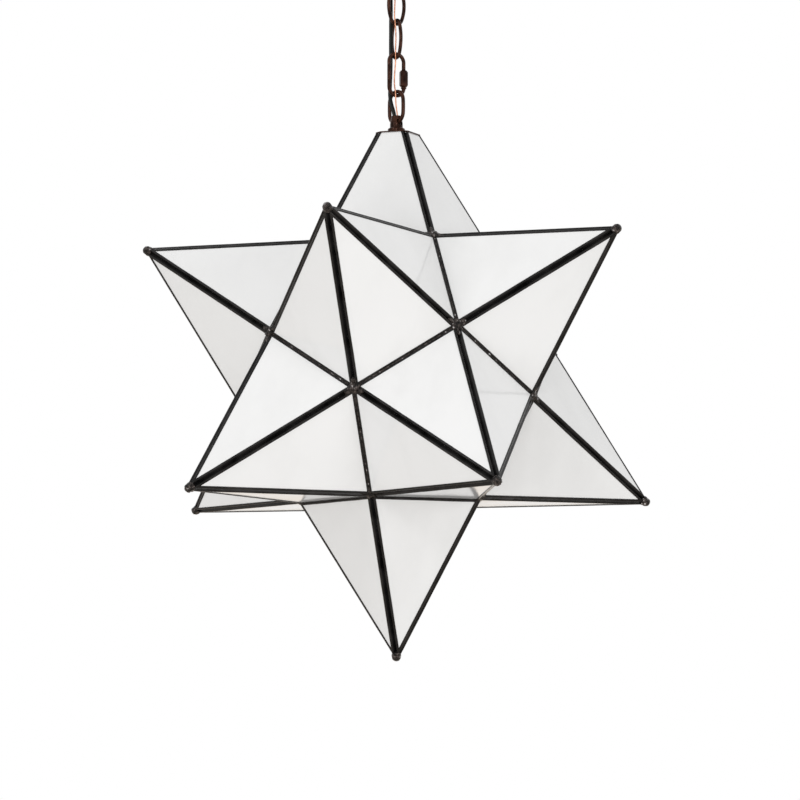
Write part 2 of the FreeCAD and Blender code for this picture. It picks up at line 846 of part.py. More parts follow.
def cord(points, width, thickness, plan, name):
    """A cord of flattened section; plan is the direction of its wider side."""
    edges, radii = rounded_path(points)
    path = Part.Wire(edges)
    start = V(*points[0])
    along = V(*points[1]) - start
    along.normalize()
    wide = plan - along * plan.dot(along)
    wide.normalize()
    thin = along.cross(wide)
    flat = (width - thickness) / 2
    half = thickness / 2
    slant = half * 0.7
    ring = [(flat + half, 0), (flat + slant, slant), (flat, half), (-flat, half),
            (-flat - slant, slant), (-flat - half, 0), (-flat - slant, -slant), (-flat, -half),
            (flat, -half), (flat + slant, -slant)]
    if flat < 0.01:
        ring = [(half * math.cos(math.pi / 3 * k), half * math.sin(math.pi / 3 * k)) for k in range(6)]
    corners = [start + wide * a + thin * b for a, b in ring]
    section = Part.makePolygon(corners + [corners[0]])
    body = path.makePipeShell([section], True, False)
    area = Part.Face(section).Area
    print(name, "length", round(path.Length, 1), "volume over section times length",
          round(body.Volume / (area * path.Length), 4))
    print(name, "radii", [round(r, 1) for r in radii], "least", round(min(radii), 1))
    return body


# ---------------------------------------------------------------- all pieces
def build():
    nodes = {}
    frames = {}
    for name in TIPS:
        glasses, frames[name] = star_point(name)
        nodes["glass_" + name] = glasses
        nodes["came_" + name] = frames[name]
    shade_frames = [f for name in TIPS if name != "bottom" for f in frames[name]]
    nodes["solder_tips"] = [tip_cap(name) for name in TIPS if name not in ("top", "bottom")]
    nodes["door_tip_solder"] = [tip_cap("bottom")]
    door_corners = corners_round(TIPS["bottom"])
    upper_corners = [c for c in CORNERS if min((c - d).Length for d in door_corners) > 0.01]
    nodes["solder_lumps"] = [corner_lump(c, shade_frames) for c in upper_corners]
    _, _, door_normal, shade_normal = hinge_place()
    spans = hinge_spans()
    nodes["hinge_knuckles_shade"] = [knuckle(s, shade_normal, door_normal) for s in spans[::2]]
    nodes["hinge_knuckle_door"] = [knuckle(spans[1], door_normal, shade_normal)]
    nodes["hinge_pin"] = [hinge_pin()]
    nodes["door_catch"] = [door_catch()]
    nodes["top_plate"] = [top_plate()]
    nodes["hanging_loop"] = [hanging_loop()]
    nodes["stem_pipe"] = [stem_pipe()]
    nodes["plate_washer"] = [plate_washer()]
    nodes["plate_nut"] = [bored_nut(nut_flats, nut_thickness, pipe_radius + pipe_fit, nut_level)]
    nodes["socket_cap"] = [socket_cap()]
    nodes["socket_shell"] = [socket_shell()]
    nodes["socket_core"] = [socket_core()]
    nodes["screw_shell"] = [screw_shell()]
    nodes["centre_contact"] = [centre_contact()]
    nodes["lamp_base"] = [lamp_base()]
    nodes["lamp_glass"] = [lamp_glass()]
    nodes["ring_link"] = [ring_link()]
    nodes["quick_link"] = [quick_link()]
    nodes["quick_link_nut"] = [quick_link_nut()]
    nodes["chain_link_lower"] = [chain_link(lower_top, lower_bow, heading(chain_heading - 90))]
    nodes["chain_link_upper"] = [chain_link(upper_top, upper_bow, heading(chain_heading))]
    nodes["canopy_loop"] = [canopy_loop()]
    nodes["collar_ring"] = [collar_ring()]
    nodes["canopy"] = [canopy()]
    nodes["crossbar"] = [crossbar()]
    nodes["mounting_nipple"] = [nipple()]
    nodes["nipple_locknut"] = [bored_nut(nut_flats, nut_thickness, nipple_radius + pipe_fit,
                                         -crossbar_thickness - nut_thickness)]
    nodes["ground_screw"] = [ground_screw()]
    wide = heading(chain_heading - 90)
    nodes["power_cord"] = [cord(power_route, cord_width, cord_thickness, wide, "power cord")]
    nodes["ground_wire"] = [cord(ground_route, ground_wire_thickness, ground_wire_thickness,
                                 V(1, 0, 0), "ground wire")]
    return nodes


os.makedirs("parts", exist_ok=True)
for node, solids in build().items():
    shape = solids[0] if len(solids) == 1 else Part.makeCompound(solids)
    shape.exportStep("parts/" + node + ".step")
print("star centre level", round(star_level, 2), "ring bow", round(ring_bow, 2),
      "quick bow", round(quick_bow, 2), "lower bow", round(lower_bow, 2),
      "upper bow", round(upper_bow, 2), "collar bow", round(collar_bow, 2))
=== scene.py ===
import json
import math

import bmesh
import bpy
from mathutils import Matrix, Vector, noise


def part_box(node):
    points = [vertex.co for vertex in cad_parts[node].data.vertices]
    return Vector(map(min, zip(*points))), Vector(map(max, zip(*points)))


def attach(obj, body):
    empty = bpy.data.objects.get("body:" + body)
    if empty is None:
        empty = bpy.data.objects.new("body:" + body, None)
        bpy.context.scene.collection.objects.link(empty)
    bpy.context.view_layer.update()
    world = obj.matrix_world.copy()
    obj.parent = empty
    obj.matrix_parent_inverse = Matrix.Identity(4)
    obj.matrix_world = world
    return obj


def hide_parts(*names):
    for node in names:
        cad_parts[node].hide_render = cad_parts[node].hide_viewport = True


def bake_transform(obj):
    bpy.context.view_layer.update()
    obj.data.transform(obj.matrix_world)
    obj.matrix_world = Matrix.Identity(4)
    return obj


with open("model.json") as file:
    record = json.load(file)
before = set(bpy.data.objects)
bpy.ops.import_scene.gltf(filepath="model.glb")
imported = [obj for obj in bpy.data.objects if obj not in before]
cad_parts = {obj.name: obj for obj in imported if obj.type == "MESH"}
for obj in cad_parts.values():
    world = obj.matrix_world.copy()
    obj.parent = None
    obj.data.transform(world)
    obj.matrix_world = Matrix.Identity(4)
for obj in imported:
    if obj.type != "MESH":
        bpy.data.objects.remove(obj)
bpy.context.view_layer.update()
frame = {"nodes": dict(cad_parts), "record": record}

# The looks of a twelve-pointed glass star that hangs on a short chain.
# Shapes are worked out in millimetres, in the frame of the solids, and scaled once in mesh_piece().

MM = 0.001
V = Vector
UP = V((0, 0, 1))
NODES = frame["nodes"]


def box_mm(node):
    """Lowest and highest corners of a solid at rest, in millimetres."""
    low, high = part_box(node)
    return V(low) / MM, V(high) / MM


def heading(degrees):
    """A level direction, in degrees from +X."""
    return V((math.cos(math.radians(degrees)), math.sin(math.radians(degrees)), 0))


# ---------------------------------------------------------------- sizes in millimetres, as in the solids
TIP_RADIUS = 292.0        # star centre to the ideal tip of each point
VALLEY_RADIUS = 165.0     # star centre to each corner where three points meet
PLATE_LEVEL = 250.4       # star centre up to the underside of the top plate
PLATE_CORNER = 26.8       # axis to each corner of the cut-off top point
PLATE_LIP = 0.3           # how far the plate reaches past the glass point
CAME_DEPTH = 4.6
CAME_LEG = 2.3            # from a channel's edge to the ends of its legs, which hold the glass
SEAM_GAP = 0.05           # from a seam's line to the channel on each side
DOOR_GAP = 0.3            # the same round the bottom point, which opens
TIP_CUT = 7.6             # from the ideal tip back to the seat of the soldered cap
TIP_CAP_HEIGHT = 5.6
PIPE_HOLE = 5.15          # radius of a hole that takes the stem pipe or the nipple

FLANGE_RADIUS = 9.0
LOOP_HEIGHT = 19.8        # from the plate to the hanging loop's mouth
LOOP_MOUTH_BORE = 4.3
LOOP_SOCKET_DEPTH = 8.8   # how deep the stem pipe is screwed in
LOOP_EYE_RADIUS = 4.0
LOOP_EYE_LIFT = 0.7       # the eye's axis above the ring's wire centre
RING_SEAT = 12.7          # from the plate up to the ring's wire centre
RING_WIRE = 4.0
RING_WIDTH = 21.0         # centre to centre of the wire
RING_ROUNDNESS = 0.98     # end radius over half the width
RING_HEADING = -33.0      # plan direction of the ring's plane
QUICK_WIRE = 4.0
QUICK_WIDTH = 17.4
CHAIN_WIRE = 3.8
CHAIN_WIDTH = 18.4
CHAIN_ROUNDNESS = 0.72
CHAIN_HEADING = 45.0      # of the upper link and the quick link
CROSS_HEADING = -45.0     # of the lower link and the collar loop

COLLAR_LOOP_WIRE = 4.4
COLLAR_LOOP_WIDTH = 20.0
COLLAR_LOOP_DROP = 20.7   # from the threaded base down to the bow's wire centre
COLLAR_BASE_RADIUS = 12.7
COLLAR_BASE_BORE = 4.9
COLLAR_SOCKET_DEPTH = 6.0
COLLAR_FIT = 0.08         # round the threaded base
COLLAR_RING_RADIUS = 18.0
COLLAR_RING_BEVEL = 1.5
CANOPY_FLAT = 22.0
CANOPY_PLAY = 0.4         # round the threaded base

CENTRE = V((0, 0, box_mm("top_plate")[0].z - PLATE_LEVEL))
PLATE_TOP = box_mm("top_plate")[1].z


# ---------------------------------------------------------------- meshes
WIRE_SIDES = 20
BOW_STEPS = 22            # along each half bow of a drawn oval
FLANK_STEPS = 10
TURNED_SIDES = 72
CANOPY_SIDES = 96


def mesh_piece(name, verts, faces):
    """A smooth mesh object from corners in millimetres."""
    mesh = bpy.data.meshes.new(name)
    mesh.from_pydata([tuple(p * MM) for p in verts], [], faces)
    mesh.validate()
    bm = bmesh.new()
    bm.from_mesh(mesh)
    bmesh.ops.recalc_face_normals(bm, faces=bm.faces)
    bm.to_mesh(mesh)
    bm.free()
    mesh.polygons.foreach_set("use_smooth", [True] * len(mesh.polygons))
    mesh.update()
    piece = bpy.data.objects.new(name, mesh)
    bpy.context.scene.collection.objects.link(piece)
    return piece


def sharpen(piece, degrees):
    """Marks edges sharper than the angle, so that smooth shading keeps them."""
    bm = bmesh.new()
    bm.from_mesh(piece.data)
    limit = math.radians(degrees)
    for edge in bm.edges:
        if len(edge.link_faces) == 2 and edge.calc_face_angle(0) > limit:
            edge.smooth = False
    bm.to_mesh(piece.data)
    bm.free()


class Shells:
    """Collects corners and faces of several closed shells in one piece."""

    def __init__(self):
        self.verts = []
        self.faces = []

    def add_rings(self, rings, closed=False, caps=True):
        """Joins rings of equally many corners; caps the ends unless the rings close."""
        base = len(self.verts)
        count = len(rings[0])
        for ring in rings:
            self.verts.extend(ring)
        total = len(rings)
        for r in range(total if closed else total - 1):
            low = base + r * count
            high = base + ((r + 1) % total) * count
            for i in range(count):
                j = (i + 1) % count
                self.faces.append((low + i, low + j, high + j, high + i))
        if caps and not closed:
            self.faces.append(tuple(base + i for i in range(count))[::-1])
            self.faces.append(tuple(base + (total - 1) * count + i for i in range(count)))

    def piece(self, name):
        return mesh_piece(name, self.verts, self.faces)


def finish_piece(piece, body, slot, node):
    """Gives a piece its look and slot, sets it on its body and hides the solid that it stands for."""
    piece.data.materials.clear()
    piece.data.materials.append(LOOKS[slot])
    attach(piece, body)
    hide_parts(node)


def circle(centre, across, up, radius, count):
    turns = [2 * math.pi * k / count for k in range(count)]
    return [centre + across * (radius * math.cos(t)) + up * (radius * math.sin(t)) for t in turns]


def arc_points(centre, plan, radius, start, end, steps):
    """Points on an arc in the vertical plane of plan, angles in degrees from plan."""
    turns = [math.radians(start + (end - start) * k / steps) for k in range(steps + 1)]
    return [centre + plan * (radius * math.cos(t)) + UP * (radius * math.sin(t)) for t in turns]


def planar_wire(points, side, radius, closed):
    """Rings of a round wire along points in one plane, square to its run; side is the plane's normal."""
    rings = []
    total = len(points)
    for i, point in enumerate(points):
        before = points[i - 1] if closed or i else point * 2 - points[1]
        after = points[(i + 1) % total] if closed or i < total - 1 else point * 2 - points[i - 1]
        along = ((point - before).normalized() + (after - point).normalized()).normalized()
        rings.append(circle(point, side.cross(along), side, radius, WIRE_SIDES))
    return rings


def oval(length, width, roundness):
    """A four-arc oval as (along, across) points, from its lower end round."""
    half = length / 2
    reach = width / 2
    end_radius = roundness * reach
    rise = half - end_radius
    flank = (rise ** 2 + reach ** 2 - end_radius ** 2) / (2 * (reach - end_radius))
    turn = math.atan2(rise, flank - reach)
    quarter = []
    for k in range(BOW_STEPS + 1):
        t = (math.pi / 2 - turn) * k / BOW_STEPS
        quarter.append((-rise - end_radius * math.cos(t), end_radius * math.sin(t)))
    for k in range(1, FLANK_STEPS + 1):
        t = turn * (1 - k / FLANK_STEPS)
        quarter.append((-flank * math.sin(t), reach - flank + flank * math.cos(t)))
    lower = quarter[:-1]
    right = lower + [(0, reach)] + [(-a, c) for a, c in reversed(lower)]
    left = [(a, -c) for a, c in reversed(right[1:-1])]
    return right + left


def lathe(profile, count):
    """A turned form about Z from (radius, height) points."""
    rings = []
    for k in range(count):
        t = 2 * math.pi * k / count
        rings.append([V((r * math.cos(t), r * math.sin(t), z)) for r, z in profile])
    shells = Shells()
    shells.add_rings(rings, closed=True)
    return shells


def rounded_profile(points, radius, steps=3):
    """Rounds the corners of a closed profile of (radius, height) points."""
    out = []
    total = len(points)
    for i in range(total):
        here = V(points[i])
        before = V(points[i - 1])
        after = V(points[(i + 1) % total])
        cut = min(radius, (before - here).length * 0.45, (after - here).length * 0.45)
        start = here + (before - here).normalized() * cut
        end = here + (after - here).normalized() * cut
        for k in range(steps + 1):
            s = k / steps
            p = start * (1 - s) ** 2 + here * (2 * s * (1 - s)) + end * s ** 2
            out.append((p.x, p.y))
    return out


# ---------------------------------------------------------------- star geometry
FRONT = 270               # degrees from +X to the front, -Y
FIFTH = 72
NEIGHBOURS = 0.4          # only the directions of neighbouring points have a dot product above this


def star_tips():
    """Directions of the twelve points by name; the top and bottom ones lie on the axis."""
    rise = 1 / math.sqrt(5)
    reach = 2 / math.sqrt(5)
    upper = ["upper_front", "upper_right", "upper_back_right", "upper_back_left", "upper_left"]
    lower = ["lower_front_right", "lower_right", "lower_back", "lower_left", "lower_front_left"]
    tips = {"top": UP.copy()}
    for k, name in enumerate(upper):
        tips[name] = heading(FRONT + FIFTH * k) * reach + UP * rise
    for k, name in enumerate(lower):
        tips[name] = heading(FRONT + FIFTH * (k + 0.5)) * reach - UP * rise
    tips["bottom"] = -UP
    return tips


TIPS = star_tips()


def valley_corners():
    """Each of the twenty corners where three points meet, with the names of those points."""
    names = list(TIPS)
    corners = []
    for i in range(12):
        for j in range(i + 1, 12):
            for k in range(j + 1, 12):
                a, b, c = TIPS[names[i]], TIPS[names[j]], TIPS[names[k]]
                if min(a.dot(b), b.dot(c), a.dot(c)) > NEIGHBOURS:
                    corners.append(((a + b + c).normalized(), (names[i], names[j], names[k])))
    return corners


CORNERS = valley_corners()


def corners_round(name):
    """The five corners at the foot of a point, in order round its axis."""
    tip = TIPS[name]
    five = [c for c, names in CORNERS if name in names]
    side = (five[0] - tip * five[0].dot(tip)).normalized()
    other = tip.cross(side)
    return sorted(five, key=lambda c: math.atan2(c.dot(other), c.dot(side)))


def point_panels(name):
    """The outlines of a point's panels on the outer face, and their outward normals."""
    tip = TIPS[name]
    foot = [c * VALLEY_RADIUS for c in corners_round(name)]
    panels = []
    for k in range(5):
        a, b = foot[k], foot[(k + 1) % 5]
        if name == "top":
            cut = [V((p.x, p.y, 0)).normalized() * PLATE_CORNER + UP * PLATE_LEVEL for p in (a, b)]
            outline = [a, b, cut[1], cut[0]]
        else:
            outline = [a, b, tip * TIP_RADIUS]
        normal = (outline[1] - outline[0]).cross(outline[2] - outline[0]).normalized()
        if normal.dot(outline[0]) < 0:
            normal = -normal
            outline = [outline[1], outline[0]] + outline[2:][::-1]
        panels.append(([CENTRE + p for p in outline], normal))
    return panels


def inset(outline, normal, distances):
    """The outline with each edge moved inwards by its own distance."""
    count = len(outline)
    lines = []
    for i in range(count):
        along = (outline[(i + 1) % count] - outline[i]).normalized()
        lines.append((outline[i] + normal.cross(along) * distances[i], along))
    moved = []
    for i in range(count):
        p, d = lines[i - 1]
        q, e = lines[i]
        across = normal.cross(e)
        moved.append(p + d * ((q - p).dot(across) / d.dot(across)))
    return moved


# ---------------------------------------------------------------- cames
WEB = 0.9                 # from the channel's edge to the pocket that holds the glass
POCKET_TOP = -0.78
POCKET_BOTTOM = -3.82
# Section of a soft-edged channel: (inwards from its edge, along the outward normal).
LEG_ROUND = [(0.0, -0.58), (0.1, -0.36), (0.34, -0.17), (0.72, -0.04)]
CAME_SECTION = LEG_ROUND + [(CAME_LEG * 0.5, 0.0)] + [(CAME_LEG - d, h) for d, h in reversed(LEG_ROUND)] + [
    (CAME_LEG, POCKET_TOP), (WEB, POCKET_TOP), (WEB, POCKET_BOTTOM), (CAME_LEG, POCKET_BOTTOM),
    (CAME_LEG, -4.3), (CAME_LEG - 0.2, -CAME_DEPTH), (0.0, -CAME_DEPTH),
]
CROWN = 4                 # the section's point in the middle of the outer leg
OUTER_LEG = range(2, 9)   # the section's points that wander
CAME_STEP = 7.0           # length between the rings of a hand-drawn strip
CAME_WAVER = 0.16         # how far the outer leg wanders slowly
CAME_WAVER_SIZE = 23.0
CAME_RIPPLE = 0.05        # how far it wanders quickly
CAME_RIPPLE_SIZE = 6.0
CAME_SHARP = 50           # degrees

# Without a seed, vector noise starts from the clock and differs from run to run.
noise.seed_set(1)


def waver(point, size, seed):
    """The wander of hand work, in waves of a size, the same on every run."""
    return noise.noise_vector(point / size + V((seed, 0, 0)))


def came_strips(name):
    """The five soft-edged channels of one point, mitred at their corners."""
    shells = Shells()
    panels = point_panels(name)
    count = len(panels)
    top = name == "top"
    for k, (outline, normal) in enumerate(panels):
        ridge = CAME_DEPTH * math.tan(normal.angle(panels[(k + 1) % count][1]) / 2) + SEAM_GAP
        foot = DOOR_GAP if name == "bottom" else SEAM_GAP
        edges = [foot, ridge, 0.0, ridge] if top else [foot, ridge, ridge]
        loops = []
        for d, h in CAME_SECTION:
            distances = [e if top and n == 2 else e + d for n, e in enumerate(edges)]
            loops.append([p + normal * h for p in inset(outline, normal, distances)])
        # The cut-off top point has no channel along its cut, under the plate.
        runs = [(3, 0), (0, 1), (1, 2)] if top else [(i, (i + 1) % 3) for i in range(3)]
        rings = []
        for i, j in runs:
            steps = max(2, round((outline[j] - outline[i]).length / CAME_STEP))
            last = top and (i, j) == runs[-1]
            for s in range(steps + 1 if last else steps):
                t = s / steps
                ring = [loop[i].lerp(loop[j], t) for loop in loops]
                middle = ring[CROWN]
                slow = waver(middle, CAME_WAVER_SIZE, k * 7.1) * CAME_WAVER
                quick = waver(middle, CAME_RIPPLE_SIZE, k * 3.3) * CAME_RIPPLE
                drift = slow + quick
                drift = drift - normal * max(0.0, drift.dot(normal))
                # The outer leg wanders; what touches the glass and the seams stays.
                rings.append([p + drift if n in OUTER_LEG else p for n, p in enumerate(ring)])
        shells.add_rings(rings, closed=not top)
    piece = shells.piece("cames_" + name)
    sharpen(piece, CAME_SHARP)
    return piece


# ---------------------------------------------------------------- solder
SEAM_STEP = 3.0
SEAM_WIDTH = 1.0          # half the width of the solder run along a seam
SEAM_HEIGHT = 0.34
SEAM_SINK = 0.12          # how far the run's feet lie under the seam's line
SEAM_KEEL = 0.9           # how deep it fills the seam
SEAM_SWAY_SIZE = 5.0
SEAM_WIDTH_SWAY = 0.45    # as a share of the width
SEAM_HEIGHT_SWAY = 0.14
SEAM_SIDE_SWAY = 0.25
CAP_SIDES = 20
CAP_GRAIN = 1.9           # size of the cap's warts
CAP_WARTS = 1.1           # how strongly they show
CAP_BUMP = 0.3            # how far they stand out at most
# Profile of a cap: (radius, height above its seat).
CAP_PROFILE = [
    (3.4, -3.8), (4.6, -2.9), (4.85, -1.6), (4.7, -0.2), (4.5, 1.2), (4.25, 2.4), (3.85, 3.4),
    (3.25, 4.25), (2.5, 4.9), (1.5, 5.4), (0.4, TIP_CAP_HEIGHT),
]
# A drop's half length, half width, half height and roughness.
MIDDLE_DROP = (6.4, 5.6, 3.0, 0.34)
RIDGE_DROP = (5.0, 3.0, 2.1, 0.4)
VALLEY_DROP = (4.2, 2.0, 1.2, 0.3)
DROP_GRAIN = 2.3          # size of a drop's warts
MIDDLE_SINK = 1.2         # how far a drop's middle lies under the corner or seam
RIDGE_SINK = 2.9
VALLEY_SINK = 0.9
SEAM_DROP_REACH = 5.6     # from the corner along the seam to a seam's drop
DOOR_LIFT = 2.2           # keeps the solder round the door clear of it


def seam_bead(shells, start, end, outward, seed):
    """A low run of solder along the seam between two channels."""
    along = (end - start).normalized()
    side = along.cross(outward).normalized()
    steps = round((end - start).length / SEAM_STEP)
    rings = []
    for s in range(steps + 1):
        middle = start.lerp(end, s / steps)
        sway = waver(middle, SEAM_SWAY_SIZE, seed)
        wide = SEAM_WIDTH * (1 + SEAM_WIDTH_SWAY * sway.x)
        high = SEAM_HEIGHT + SEAM_HEIGHT_SWAY * sway.y
        shift = side * (SEAM_SIDE_SWAY * sway.z)
        ring = []
        for degrees in (-90, -60, -25, 0, 25, 60, 90):
            turn = math.radians(degrees)
            ring.append(middle + shift + side * (wide * math.sin(turn))
                        + outward * (high * math.cos(turn) - SEAM_SINK))
        ring.append(middle - outward * SEAM_KEEL)
        rings.append(ring)
    shells.add_rings(rings)


def lumpy_drop(shells, centre, axis, along, drop, seed, rows=7, turns=12):
    """A drop of solder: an egg drawn out along a seam, with a hand-worked surface."""
    half_length, half_width, height, rough = drop
    side = axis.cross(along).normalized()
    along = side.cross(axis).normalized()
    base = len(shells.verts)
    rings = []
    for r in range(1, rows):
        a = math.pi * r / rows
        ring = []
        for t in range(turns):
            b = 2 * math.pi * t / turns
            p = (along * (math.sin(a) * math.cos(b) * half_length)
                 + side * (math.sin(a) * math.sin(b) * half_width) + axis * (math.cos(a) * height))
            grain = noise.noise(p / DROP_GRAIN + V((seed, seed * 0.7, 3)))
            wobble = grain * rough * min(half_width, height) * 2
            ring.append(centre + p + p.normalized() * wobble)
        rings.append(ring)
    shells.add_rings(rings, caps=False)
    top = len(shells.verts)
    shells.verts.append(centre + axis * height)
    shells.verts.append(centre - axis * height)
    last = base + (rows - 2) * turns
    for t in range(turns):
        n = (t + 1) % turns
        shells.faces.append((base + n, base + t, top))
        shells.faces.append((last + t, last + n, top + 1))


def tip_cap(shells, name):
    """The soldered end of a point, where its five ridges run together."""
    tip = TIPS[name]
    seat = CENTRE + tip * (TIP_RADIUS - TIP_CUT)
    side = corners_round(name)[0]
    side = (side - tip * side.dot(tip)).normalized()
    other = tip.cross(side)
    seed = 1.3 * list(TIPS).index(name)
    rings = []
    for radius, height in CAP_PROFILE:
        ring = []
        for k in range(CAP_SIDES):
            t = 2 * math.pi * k / CAP_SIDES
            out = side * math.cos(t) + other * math.sin(t)
            p = seat + tip * height + out * radius
            bump = noise.noise(p / CAP_GRAIN + V((seed, 0, 1.7))) * CAP_WARTS
            ring.append(p + out * min(bump, CAP_BUMP) * min(1.0, radius / 2))
        rings.append(ring)
    shells.add_rings(rings)


def seam_runs(corner, names, door):
    """Directions of the ridges and of the valleys that leave a corner."""
    ridges = [(TIPS[n] * TIP_RADIUS - corner * VALLEY_RADIUS).normalized() for n in names
              if not (door and n == "bottom")]
    valleys = []
    for other, others in CORNERS:
        shared = set(names) & set(others)
        if len(shared) == 2 and other is not corner and not (door and "bottom" in shared):
            valleys.append((other - corner).normalized())
    return ridges, valleys


def corner_lump(shells, corner, names, index):
    """Solder where three points meet: a warty middle that runs out into the seams."""
    door = "bottom" in names
    place = CENTRE + corner * VALLEY_RADIUS
    side = corner.orthogonal().normalized()
    if door:
        place = place + UP * DOOR_LIFT
    middle = place - corner * MIDDLE_SINK
    lumpy_drop(shells, middle, corner, side, MIDDLE_DROP, index * 1.9, rows=11, turns=22)
    ridges, valleys = seam_runs(corner, names, door)
    for n, run in enumerate(ridges):
        outward = (corner - run * corner.dot(run)).normalized()
        spot = place + run * SEAM_DROP_REACH - outward * RIDGE_SINK
        lumpy_drop(shells, spot, outward, run, RIDGE_DROP, n + index * 2.3)
    for n, run in enumerate(valleys):
        outward = (corner - run * corner.dot(run)).normalized()
        spot = place + run * SEAM_DROP_REACH - outward * VALLEY_SINK
        lumpy_drop(shells, spot, outward, run, VALLEY_DROP, n * 2 + index * 1.3)


def seam_solder(shells):
    """The valley seams, each from corner to corner; the bottom point opens and has none."""
    for i, (corner, names) in enumerate(CORNERS):
        for other, others in CORNERS[i + 1:]:
            shared = set(names) & set(others)
            if len(shared) == 2 and "bottom" not in shared:
                start = CENTRE + corner * VALLEY_RADIUS
                end = CENTRE + other * VALLEY_RADIUS
                seam_bead(shells, start, end, (corner + other).normalized(), i * 0.7)


def build_star():
    for name in TIPS:
        body = "door" if name == "bottom" else "star"
        finish_piece(came_strips(name), body, "dark_came", "came_" + name)
    tips = Shells()
    for name in TIPS:
        if name not in ("top", "bottom"):
            tip_cap(tips, name)
    finish_piece(tips.piece("tip_solder"), "star", "dark_solder", "solder_tips")
    door_tip = Shells()
    tip_cap(door_tip, "bottom")
    finish_piece(door_tip.piece("door_tip_bulb"), "door", "dark_solder", "door_tip_solder")
    lumps = Shells()
    for index, (corner, names) in enumerate(CORNERS):
        corner_lump(lumps, corner, names, index)
    seam_solder(lumps)
    finish_piece(lumps.piece("corner_solder"), "star", "dark_solder", "solder_lumps")


# ---------------------------------------------------------------- materials
def new_material(name):
    look = bpy.data.materials.new(name)
    look.use_nodes = True
    tree = look.node_tree
    shader = tree.nodes["Principled BSDF"]
    return look, tree, shader


def add(tree, kind, **values):
    """A new node, with its inputs or settings by name."""
    node = tree.nodes.new(kind)
    for key, value in values.items():
        if key in node.inputs:
            node.inputs[key].default_value = value
        else:
            setattr(node, key, value)
    return node


def noise_node(tree, scale, detail, stretch=(1, 1, 1), roughness=0.5):
    place = add(tree, "ShaderNodeTexCoord")
    mapping = add(tree, "ShaderNodeMapping")
    mapping.inputs["Scale"].default_value = stretch
    tree.links.new(place.outputs["Object"], mapping.inputs["Vector"])
    grain = add(tree, "ShaderNodeTexNoise", Scale=scale, Detail=detail, Roughness=roughness)
    tree.links.new(mapping.outputs["Vector"], grain.inputs["Vector"])
    return grain


def ramp_node(tree, source, stops):
    ramp = add(tree, "ShaderNodeValToRGB")
    while len(ramp.color_ramp.elements) < len(stops):
        ramp.color_ramp.elements.new(0.5)
    for element, (place, colour) in zip(ramp.color_ramp.elements, stops):
        element.position = place
        element.color = tuple(colour) + (1,)
    tree.links.new(source, ramp.inputs["Fac"])
    return ramp


def bump_node(tree, shader, source, strength, distance):
    bump = add(tree, "ShaderNodeBump", Strength=strength, Distance=distance)
    tree.links.new(source, bump.inputs["Height"])
    tree.links.new(bump.outputs["Normal"], shader.inputs["Normal"])


def grey(value):
    return (value, value, value)


def mottled(name, dark, light, metallic, rough, scale, bump, distance, low=0.35, high=0.65, glint_and_bare=None,
            gloss=0.5):
    """Two shades worn into each other by noise, with rough and smooth patches and a fine bump; where given,
    sparse bright spots that are painted glints as well as worn bare metal.
    """
    look, tree, shader = new_material(name)
    grain = noise_node(tree, scale, 5.0)
    stops = [(low, dark), (high, light)]
    # Sparse bright spots above the light shade: painted glints, and worn bare metal too.
    if glint_and_bare:
        stops.append((high + 0.05, glint_and_bare))
    colours = ramp_node(tree, grain.outputs["Fac"], stops)
    tree.links.new(colours.outputs["Color"], shader.inputs["Base Color"])
    patches = noise_node(tree, scale * 0.6, 3.0)
    smooth, dull = rough
    worn = ramp_node(tree, patches.outputs["Fac"], [(0.3, grey(smooth)), (0.7, grey(dull))])
    tree.links.new(worn.outputs["Color"], shader.inputs["Roughness"])
    fine = noise_node(tree, scale * 2.5, 3.0)
    bump_node(tree, shader, fine.outputs["Fac"], bump, distance)
    shader.inputs["Metallic"].default_value = metallic
    shader.inputs["Specular IOR Level"].default_value = gloss
    return look


def opal_glass():
    """Milk glass: near-white, with faint drawn streaks and a slightly wavy gloss."""
    look, tree, shader = new_material("opal_glass")
    streaks = noise_node(tree, 7.0, 5.0, stretch=(1.0, 1.0, 0.35), roughness=0.55)
    shades = [(0.3, (0.80, 0.80, 0.795)), (0.52, (0.88, 0.88, 0.877)), (0.75, (0.90, 0.90, 0.897))]
    colours = ramp_node(tree, streaks.outputs["Fac"], shades)
    tree.links.new(colours.outputs["Color"], shader.inputs["Base Color"])
    wave = noise_node(tree, 14.0, 2.0, stretch=(1.0, 1.0, 0.5))
    bump_node(tree, shader, wave.outputs["Fac"], 0.12, 0.004)
    shader.inputs["Roughness"].default_value = 0.09
    shader.inputs["IOR"].default_value = 1.5
    return look


